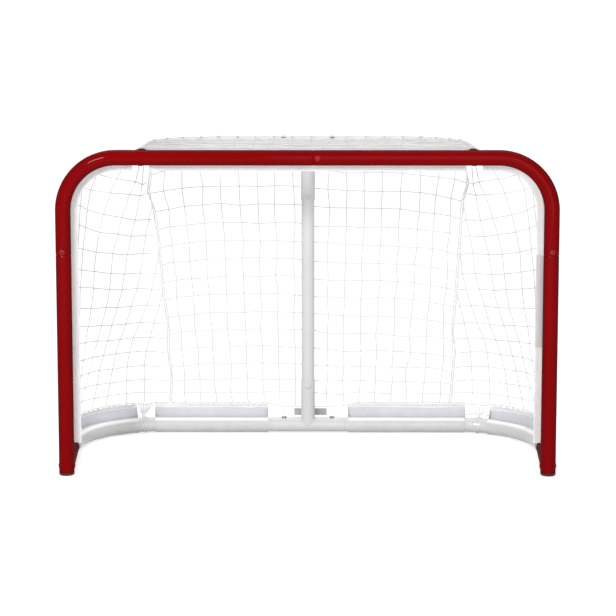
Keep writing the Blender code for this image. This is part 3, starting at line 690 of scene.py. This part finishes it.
# side nets. frontZ, seamZ: heights of the rows at the front frame and at the seam. Column 0 is the front edge, and
# 3 to 9 show beside the post: topSpots are metres along the top edge, and the last three start on the seam at
# startZ; baseSpots are metres along the floor tube; goneX are the shares of its way in x that each column has gone
# at the shares fallen of its height
flank = dict(
    frontZ=[0.600, 0.565, 0.529, 0.490, 0.443, 0.400, 0.363, 0.3165, 0.277, 0.2405, 0.199, 0.164, 0.131, 0.095],
    seamZ=[0.552, 0.529, 0.472, 0.437, 0.397, 0.354, 0.3195, 0.281, 0.242, 0.208, 0.176, 0.143, 0.112, 0.084],
    topSpots=[0.060, 0.105, 0.133, 0.178], startZ=[0.505, 0.405, 0.315],
    baseSpots=[0.599, 0.5546, 0.505, 0.4643, 0.4293, 0.3856, 0.3491],
    fallen=[0, 0.1, 0.2, 0.38, 0.56, 0.70, 0.82, 1],
    goneX=[[0, 0.29, 0.40, 0.55, 0.64, 0.71, 0.82, 1], [0, 0.22, 0.38, 0.543, 0.619, 0.718, 0.79, 1],
           [0, 0.065, 0.255, 0.456, 0.552, 0.705, 0.82, 1], [0, 0.05, 0.135, 0.351, 0.49, 0.682, 0.835, 1],
           [0, 0.09, 0.185, 0.31, 0.53, 0.75, 0.88, 1], [0, 0.08, 0.16, 0.42, 0.75, 0.93, 0.97, 1],
           [0, 0.15, 0.32, 0.62, 0.9, 1, 1, 1]],
    gapDip=0.004, unevenness=0.0015, railX=0.337, hiddenTop=0.594,
)
onBar = cornerRadius * np.pi / 4 + postX - cornerRadius - flank["railX"]


def sideTopEdge(s):
    # from the middle of the corner's bend along the crossbar, and from onBar metres on along the top tube
    bar = frontAxis(sum(frontAxis.bend) / 2 + s)[0] + back * net["frontDepth"]
    rail = beside(railRoute, np.maximum(s - onBar, 0) + net["frontDepth"], -0.002, barZ + standoff)
    return np.where((s > onBar)[:, None], rail, bar)


def sideBorder(side, spots):
    # the border dips where it has no sleeve under it
    depth = floorRoute(spots)[0][:, 1] - goal["frontY"]
    away = net["panelMiddle"] * np.clip((depth - net["frontDepth"]) / 0.08, 0, 1)
    gap = smoothStep(-0.002, 0.012, spots - sleeve["backEnd"][side])
    gap = gap * smoothStep(0.002, -0.012, spots - baseCentreX - baseRadius * sleeve["sideStart"][side])
    return beside(floorRoute, spots, away, net["borderZ"] - flank["gapDip"] * gap)


def sideNet(side, seed):
    depth, mirror = net["frontDepth"], flip if side < 0 else 1
    tops = [sideTopEdge(np.array(flank["topSpots"])), seamPoints(side, np.array(flank["startZ"])) * mirror]
    tops = np.concatenate(tops)
    feet = sideBorder(side, np.array(flank["baseSpots"]))

    def frontEdge(z):
        rise = np.clip((z - barZ + cornerRadius) / cornerRadius, 0, 1)
        return at(postX - cornerRadius * (1 - np.sqrt(1 - rise ** 2)), depth, z)

    def column(k, z):
        # at the share s of the height the depth has gone 1 - (1 - s)^2 of its way
        i = max(k - 3, 0)
        s = np.clip((tops[i, 2] - z) / (tops[i, 2] - feet[i, 2]), 0, 1)
        gone = np.interp(s, flank["fallen"], flank["goneX"][i])
        way = feet[i] - tops[i]
        place = tops[i] + np.stack([way[0] * gone, way[1] * (1 - (1 - s) ** 2), way[2] * s], axis=-1)
        place = mix(frontEdge(z), place, min(k / 3, 1))
        place[:, 2] = z
        held = np.clip(np.minimum(s, 1 - s) * 9, 0, 1)[:, None] * (k > 0)
        moved = [waves(0.04 * k + 0 * z, z, seed + n, 0.07) for n in range(3)]
        return place + flank["unevenness"] * held * np.stack(moved, axis=-1)

    topZ = np.append([flank["hiddenTop"]] * 3, tops[:, 2])
    frontZ, seamZ = np.array(flank["frontZ"])[:, None], np.array(flank["seamZ"])[:, None]
    z = mix(frontZ, seamZ, smoothStep(0.1, 0.75, np.arange(11) / 10))
    crossed = z[:, :10] < topZ - 0.004
    columns = [column(k, np.concatenate([[topZ[k]], z[crossed[:, k], k], [net["borderZ"]]])) for k in range(10)]
    columns = np.stack([evenly(smoothThrough(points, 6), 76) for points in columns])
    rows, beads = [], []
    for heights, meets in zip(z, crossed):
        points = [column(k, heights[k:k + 1]) for k in np.flatnonzero(meets)]
        points = np.concatenate(points + [seamPoints(side, heights[10:]) * mirror + across * net["seamGap"]])
        beads.append(np.stack([points, np.gradient(points, axis=0)])[:, 1:-1])
        rows.append(smoothThrough(points, 8))
    start = baseCentreX + baseRadius * baseTurn + baseStraight - depth
    rows.append(sideBorder(side, np.linspace(start, net["seamX"] + net["seamGap"], 200)))
    rows.append(sideTopEdge(np.linspace(0, seamAlong - net["seamGap"] - depth + onBar, 200)))
    beads = np.concatenate(beads, axis=1)
    rows = np.stack([evenly(row, 60) for row in rows])
    return [a * mirror for a in (rows, columns, beads[0], beads[1], 0 * beads[1] + up)]


def between(s, metres, values):
    # the values of a path's points, taken between them at the lengths s
    return np.stack([np.interp(s, metres, values[:, i]) for i in range(3)], axis=-1)


def evenly(line, count):
    # the same line, with points at even steps of its length
    metres = metresAlong(line)
    return between(np.linspace(0, 1, count) * metres[-1], metres, line)


def netShape(rows, columns, beads, columnSide=across):
    radius = net["strand"] / 2
    return together(strandShape(pushedOut(rows), up, radius), strandShape(pushedOut(columns), columnSide, radius),
                    knotShape(pushedOut(beads[0]), *beads[1:], net["bead"]))


bar = frontAxis(np.linspace(0, 1.16, 500))[0]
rail = railRoute(np.linspace(0, railRoute.bend[1], 400))[0]
frameAxes = [bar, bar * flip, rail, rail * flip, beside(rearRoute, np.linspace(-0.2, 0.2, 400), 0, barZ)]
grid = mainGrid()
loose = np.ones(grid.shape[:2])  # how far each crossing may stray: none at the edges, little over the rear tube
loose[:, [0, -1]] = loose[[0, -1]] = 0
loose[6] = 0.3
grid = grid + net["wobble"] * np.random.default_rng(11).normal(size=grid.shape) * loose[..., None]
beads = [a[1:-1, 1:-1].reshape(-1, 3) for a in (grid, np.gradient(grid, axis=1), np.gradient(grid, axis=0))]
rows, columns = smoothThrough(grid, net["steps"]), smoothThrough(grid.transpose(1, 0, 2), net["steps"])
addPiece("mainNet", netShape(rows, columns, beads), netCord, ["net_back", "net_top"], smooth=70)
for side, word in words.items():
    rows, columns, *beads = sideNet(side, 20 + 3 * side)
    addPiece(f"{word}Net", netShape(rows, columns, beads, back), netCord, ["net_" + word], smooth=70)
print("net made")


def woundCord(path, side, core, winding, reach, pitch):
    # a core cord and a thinner one wound round it: centre + reach * (cos t * side + sin t * third)
    ahead = unit(np.gradient(path, axis=0))
    side = unit(side - dot(side, ahead) * ahead)
    third = np.cross(ahead, side)
    helix = path + reach * circle(2 * np.pi * metresAlong(path) / pitch, side, third)
    return together(strandShape(path, side, core, 8), strandShape(helix, ahead, winding))


seamCord = dict(core=0.0014, winding=0.0008, reach=0.0015, pitch=0.011)
for side, word in words.items():
    path = seamPoints(side, np.linspace(barZ + 0.004, net["borderZ"] + 0.003, 330))
    addPiece("seamCord" + word.capitalize(), woundCord(path, back, **seamCord), borderCord, ["seam_cord_" + word],
             smooth=70)


# Hems behind the front frame

hem = dict(inside=0.027, outside=0.014, front=0.0153, thick=0.0015, bottom=0.060, end=0.339, socketGap=0.002,
           stitches=[0.0245, 0.0215], wave=0.0007, stray=0.0006)


def clothOutline(width, thick, columns=22):
    # thin rectangle with round edges, as (across, depth) once round
    a, r, edge = np.linspace(0, width, columns), thick / 2, np.radians([-45, 0, 45])
    front = pairs(a, 0)
    return np.concatenate([front, arcPoints(width, r, r, edge), front[::-1] + [0, thick],
                           arcPoints(0, r, r, edge + np.pi)])


def hemShape(route, length, seed):
    s = np.linspace(0, length, int(length / 0.0035))
    place, ahead, inward = route(s)
    third = np.cross(ahead, inward)
    outline = clothOutline(hem["inside"] + hem["outside"], hem["thick"])
    a = hem["inside"] - outline[:, 0]
    wave = hem["wave"] * waves(s[:, None], a[None], seed, 0.05) * smoothStep(0.012, hem["inside"], a)[None]
    edge = hem["stray"] * waves(s[:, None], 0 * a[None], seed + 1, 0.035) * smoothStep(0.018, hem["inside"], a)[None]
    depth = hem["front"] + outline[None, :, 1] + np.maximum(wave, -0.0002)
    points = place[:, None] + inward[:, None] * (a + edge)[..., None] - third[:, None] * depth[..., None]
    centre = np.stack([points[0].mean(0), points[-1].mean(0)])
    u = np.append(outline[:, 0], 0) + np.append(outline[:, 1], 0)
    shapes = [gridShape(points, ends=[centre], u=u, v=s)]
    for offset in hem["stitches"]:
        shapes.append(stitchShape(place + inward * offset - third * hem["front"], third))
        shapes.append(stitchShape(place + inward * offset - third * (hem["front"] + hem["thick"]), -third))
    return together(*shapes)


def stitchShape(path, lift, pitch=0.005, length=0.0032, radius=0.0004):
    # short threads along a path, each of them sunk into the cloth at both ends
    metres = metresAlong(path)
    centre = np.arange(pitch, metres[-1] - pitch, pitch)
    local = np.linspace(-length / 2, length / 2, 5)
    spots = centre[:, None] + local
    rise = 0.0003 - 0.0007 * (local / (length / 2)) ** 4
    lifts = between(spots, metres, lift)
    return strandShape(between(spots, metres, path) + lifts * rise[:, None], lifts, radius, 5)


def addHem(word, route, length, seed, side):
    shape = mirrored(hemShape(route, length, seed), side)
    piece = addPiece("hem" + word.capitalize(), shape, hemCloth, ["hem_" + word])


hemRoute = frontRoute(hem["bottom"])
for side, word in words.items():
    addHem(word, hemRoute, hemRoute.bend[1] + postX - cornerRadius - hem["end"], 31 + side, side)
barHalf = topHalf - tubeRadius - hem["socketGap"]
addHem("top", bentRoute(at(barHalf, 0, barZ), -across, -up), 2 * barHalf, 37, 1)


# Sleeves round the floor tube

def sleeveFinish():
    # U is the distance round the cloth: a smooth wrap on the tube with a painted highlight along its crest, then a
    # woven panel, bound along its top
    material, tree, shader, where = newMaterial(
        "sleeveCloth", 0.4, Specular_IOR_Level=0.5, Subsurface_Weight=0.35, Subsurface_Radius=(1, 1, 1),
        Subsurface_Scale=0.004)
    cloud = placed(tree, mottle, where["Object"], Large=42.0, Fine=420.0)
    woven = placed(tree, weave, where["UV"], Threads_per_metre=1300.0)
    girth = addNode(tree, "SeparateXYZ", {0: where["UV"]}).outputs[0]

    def band(middle, width, inner):
        # 1 near the middle of a band, 0 beyond its width
        return ramp(tree, maths(tree, "ABSOLUTE", maths(tree, "SUBTRACT", girth, middle)), width, inner)
    soft = 0.0006
    onPanel = ramp(tree, girth, sleeve["wrapEnd"] - soft, sleeve["wrapEnd"] + soft)
    bound = band(sleeve["rim"], sleeve["binding"], sleeve["binding"] - soft)
    paintedCrestHighlight = band(sleeve["crest"], sleeve["crestWidth"], sleeve["crestWidth"] / 3)  # painted highlight: the wrap's colour goes to white along the tube's crest
    wrap = blended(tree, cloud["Mask"], (0.66, 0.66, 0.665), (0.61, 0.61, 0.62))
    wrap = blended(tree, paintedCrestHighlight, wrap, (0.95, 0.95, 0.95))
    panel = blended(tree, cloud["Mask"], (0.80, 0.795, 0.835), (0.70, 0.695, 0.74))
    # painted shade in the gaps between the panel's threads
    panel = blended(tree, woven["Height"], (0.66, 0.655, 0.70), panel)
    fill(tree, shader, {
        "Base Color": blended(tree, bound, blended(tree, onPanel, wrap, panel), (0.91, 0.91, 0.92)),
        "Roughness": maths(tree, "MULTIPLY_ADD", onPanel, 0.58, 0.22),
        "Normal": bumped(tree, maths(tree, "MULTIPLY", woven["Height"], onPanel), 0.00025, 0.6)})
    return material


def sleeveOutline():
    # from the back of the panel down, under and over the tube, up the panel's front and down its back
    outer, panelIn = sleeve["outer"], sleeve["outer"] - 2 * sleeve["ply"]
    meet = np.arccos(panelIn / outer)
    loop = arcPoints(0, 0, outer, -np.linspace(0, 2 * np.pi - meet, 46))
    low, ply = outer * np.sin(meet), sleeve["ply"]
    high = sleeve["top"] - ply
    frontFace = pairs(panelIn, np.linspace(low, high, 13)[1:])
    rim = arcPoints(outer - ply, high, ply, np.radians([135, 90, 45]))
    rearFace = pairs(outer, np.linspace(high, 0, 15)[:-1])
    return np.concatenate([loop, frontFace, rim, rearFace])


def sleeveShape(along, seed, folds, crumple):
    # the outline carried along the tube; its points move outwards by smooth random waves, and by ripples at both ends
    outline = sleeveOutline()
    centre, ahead, inward = floorRoute(along)
    out = -inward
    following = np.roll(outline, -1, axis=0) - np.roll(outline, 1, axis=0)
    normal = unit(pairs(-following[:, 1], following[:, 0]))
    girth = metresAlong(outline)
    s = np.abs(along - along[0])
    ends = np.minimum(s, s[-1] - s)[:, None]
    lift = waves(s[:, None], girth[None] * 0.6, seed, folds) + 0.5 * waves(s[:, None], girth[None], seed + 9, folds / 3)
    ripple = np.exp(-ends / 0.012) * np.sin(girth[None] * 620 + 3 * np.sin(girth[None] * 90))
    lift = crumple * lift + sleeve["ripple"] * ripple
    panel = smoothStep(0.012, 0.035, outline[:, 1])[None]
    lean = sleeve["lean"] * waves(s[:, None], 0 * girth[None], seed + 4, 0.12) * panel
    sag = sleeve["sag"] * waves(s[:, None], 0 * girth[None], seed + 5, 0.09) * panel
    a = outline[None, :, 0] + lift * normal[None, :, 0] + lean - 0.0004 * panel
    h = np.maximum(outline[None, :, 1] + lift * normal[None, :, 1] + sag - 0.0008 * panel, -baseZ + 0.0001)
    outer = centre[:, None] + out[:, None] * a[..., None] + up * h[..., None]
    inner = centre[:, None] + sleeve["inner"] * circle(-anglesRound(len(outline)), out[:, None], up)
    rows = np.concatenate([outer, inner[::-1]])
    v = np.concatenate([s, s[::-1], s[:1]])
    shapes = [gridShape(rows, roundRows=True, u=np.append(girth, girth[-1]), v=v)]
    for below in sleeve["stitches"]:
        level = centre + up * (sleeve["top"] - below)
        shapes.append(stitchShape(level + out * (sleeve["outer"] - 2 * sleeve["ply"] - 0.0002), -out))
        shapes.append(stitchShape(level + out * sleeve["outer"], out))
    return together(*shapes)


sleeveCloth = sleeveFinish()
sleeveSpans = {}
for side, word in words.items():
    onBend = tuple(baseCentreX + baseRadius * turn for turn in (baseTurn, sleeve["sideStart"][side]))
    sleeveSpans[side] = dict(side=onBend, back=(sleeve["backEnd"][side], sleeve["backX"]))
    for kind, (first, last) in sleeveSpans[side].items():
        along = np.linspace(first, last, int(abs(first - last) / 0.003))
        shape = mirrored(sleeveShape(along, sleeve["seeds"][kind] + 7 * side, *sleeve["creases"][kind]), side)
        piece = addPiece(f"{kind}Sleeve{word.capitalize()}", shape, sleeveCloth, [f"{kind}_sleeve_{word}"])


def addTape(name, low, size, material, node):
    # a strip of tape standing in the plane of the goal's back or front; size is its width, thickness and height
    outline = clothOutline(size[0], size[1], 14)
    z = np.linspace(low[2], low[2] + size[2], max(8, int(size[2] / 0.003)))
    points = at(low[0] + outline[None, :, 0], low[1] + outline[None, :, 1], z[:, None])
    ends = [[points[0].mean(0), points[-1].mean(0)]]
    shape = gridShape(points, ends=ends, u=np.append(outline[:, 0], 0), v=z - z[0])
    addPiece(name, shape, material, [node])


addTape("hookTab", (-0.029, 0.3524, 0.0335), (0.0685, 0.0012, 0.0148), tabTape, "centre_tab")
flapX = postX - hem["inside"] + fitGap
addTape("postFlap", (flapX, 0.0138, 0.2515), (0.014, 0.0012, 0.1815), flapTape, "post_flap")
print("cloth made")


# Cords that lace the net to the cloth, and the lashings at the floor corners

lacing = dict(low=0.037, high=0.0457, reach=0.0024, pitch=0.0127, radius=0.0009)


def lacingShape(first, last, seed):
    # whip lacing: height swings between low and high while the cord passes in front and behind
    centre, ahead, inward = floorRoute(np.linspace(first, last, int(abs(first - last) / 0.0012)))
    metres = metresAlong(centre)
    t = 2 * np.pi * metres / lacing["pitch"] + 0.4 * waves(metres, 0 * metres, seed, 0.1)
    height = (lacing["low"] + lacing["high"]) / 2 + (lacing["high"] - lacing["low"]) / 2 * np.cos(t)
    path = centre + up * height[:, None] - inward * (lacing["reach"] * np.sin(t) + net["panelMiddle"])[:, None]
    return strandShape(path, up, lacing["radius"])


lacings = [mirrored(lacingShape(*span, 70 + side), side) for side in words for span in sleeveSpans[side].values()]
addPiece("sleeveLacing", together(*lacings), borderCord, [], smooth=70, slot="white_cord")


def lashingShape(top, first, last, turns, radius=0.0010):
    # a cord leaves the knot on the floor tube, winds round the tube and comes back to the knot:
    # axis + reach * (cos w * outwards - sin w * up), with w growing evenly along the tube
    wound = np.linspace(-0.6, 2 * np.pi * turns - 2.5, int(30 * turns))
    path, ahead, inward = floorRoute(np.concatenate([[top], np.linspace(first, last, len(wound)), [top]]))
    reach = tubeRadius + radius + 0.0002
    path[1:-1] -= reach * circle(wound, inward[1:-1], up)
    path[[0, -1]] += 0.0175 * up - 0.004 * inward[[0, -1]]
    path = smoothThrough(path, 3)
    path[:, 2] = np.maximum(path[:, 2], radius + 0.0001)
    return strandShape(path, across, radius, 7)


def tieShape(stops, radius=0.0012):
    # a cord through stops, given as (along the floor tube, out from its axis, height)
    along, away, z = np.array(stops).T
    return strandShape(smoothThrough(beside(floorRoute, along, away, z), 8), across, radius, 7)


# knot: where the cords meet on the tube; wraps: where each starts, ends and its turns; fan: where cords leave the
# net's border for the knot; bridges: cords between the two sleeves, as (height at the back one, at the side one)
lashings = {
    -1: dict(knot=0.354, wraps=[(0.337, 0.360, 1)], fan=[0.331, 0.336, 0.341, 0.346, 0.351, 0.356, 0.361], bridges=[]),
    1: dict(knot=0.366, wraps=[(0.351, 0.376, 1), (0.377, 0.354, 1)], fan=[0.352, 0.366, 0.380],
            bridges=[(0.036, 0.047), (0.046, 0.037)]),
}
for side, word in words.items():
    tied = lashings[side]
    knot, first, last = tied["knot"], sleeveSpans[side]["back"][0], sleeveSpans[side]["side"][1]
    cords = [lashingShape(knot, *row) for row in tied["wraps"]]
    cords += [tieShape([(knot, 0.003, 0.0335), ((knot + spot) / 2, 0.008, 0.045), (spot, 0.0155, 0.0605)])
              for spot in tied["fan"]]
    cords += [tieShape([(first - 0.002, 0.012, low), ((first + last) / 2, 0.004, 0.0405), (last + 0.002, 0.012, high)],
                       0.0010) for low, high in tied["bridges"]]
    addPiece(f"{word}Lashing", mirrored(together(*cords), side), borderCord, [], smooth=70, slot="white_cord")
print("lacing made")


# Floor, light and camera

def cameraSees(tree):
    # 1 where the camera looks straight at a surface, in a reflection or through glass, and 0 for its light on others
    seen = addNode(tree, "LightPath").outputs
    return maths(tree, "MAXIMUM", seen["Is Camera Ray"],
                 maths(tree, "MAXIMUM", seen["Is Glossy Ray"], seen["Is Transmission Ray"]))


studio = dict(ambient=0.5, floorColor=0.6, floorGlow=0.6)
world = bpy.data.worlds.new("studio")
bpy.context.scene.world = world
world.use_nodes = True
tree = world.node_tree
strength = maths(tree, "MULTIPLY_ADD", cameraSees(tree), 1 - studio["ambient"], studio["ambient"])
fill(tree, tree.nodes["Background"], {"Color": (1, 1, 1), "Strength": strength})

floorMesh = bpy.data.meshes.new("floor")
floorMesh.from_pydata([(-60, -30, 0), (60, -30, 0), (60, 120, 0), (-60, 120, 0)], [], [(0, 1, 2, 3)])
linked("floor", floorMesh)
floorFinish, tree, shader, where = newMaterial("paleFloor", 0.9, Specular_IOR_Level=0.1)
fill(tree, shader, {"Base Color": (studio["floorColor"],) * 3, "Emission Color": (1, 1, 1),
                    "Emission Strength": maths(tree, "MULTIPLY", cameraSees(tree), studio["floorGlow"])})
floorMesh.materials.append(floorFinish)


def lamp(name, place, power, size):
    data = bpy.data.lights.new(name, "AREA")
    data.energy, data.shape, data.size = power, "SQUARE", size
    made = linked(name, data)
    made.location = place
    made.rotation_euler = (Vector((0, 0, 0.3)) - Vector(place)).to_track_quat("-Z", "Y").to_euler()


lamp("keyLamp", (-1.43, -3.25, 1.9), 70, 0.68)
lamp("fillLamp", (0.9, -3.7, 1.1), 40, 2.2)
backLight = bpy.data.lights.new("backSun", "SUN")
backLight.energy, backLight.angle = 1.2, np.radians(50)
linked("backSun", backLight).rotation_euler = (np.radians(-30), 0, 0)

view = dict(lens=105.54, shift=-0.18, x=0.017, distance=3.457, z=0.9606, tilt=6.799, turn=0.258)
cameraData = bpy.data.cameras.new("camera")
camera = linked("camera", cameraData)
cameraData.lens, cameraData.sensor_width, cameraData.shift_y = view["lens"], 36, view["shift"]
camera.location = (view["x"], goal["frontY"] - view["distance"], view["z"])
camera.rotation_euler = np.radians([90 - view["tilt"], 0, view["turn"]])
bpy.context.scene.camera = camera
bpy.context.scene.view_settings.view_transform = "Standard"
print("stage set")
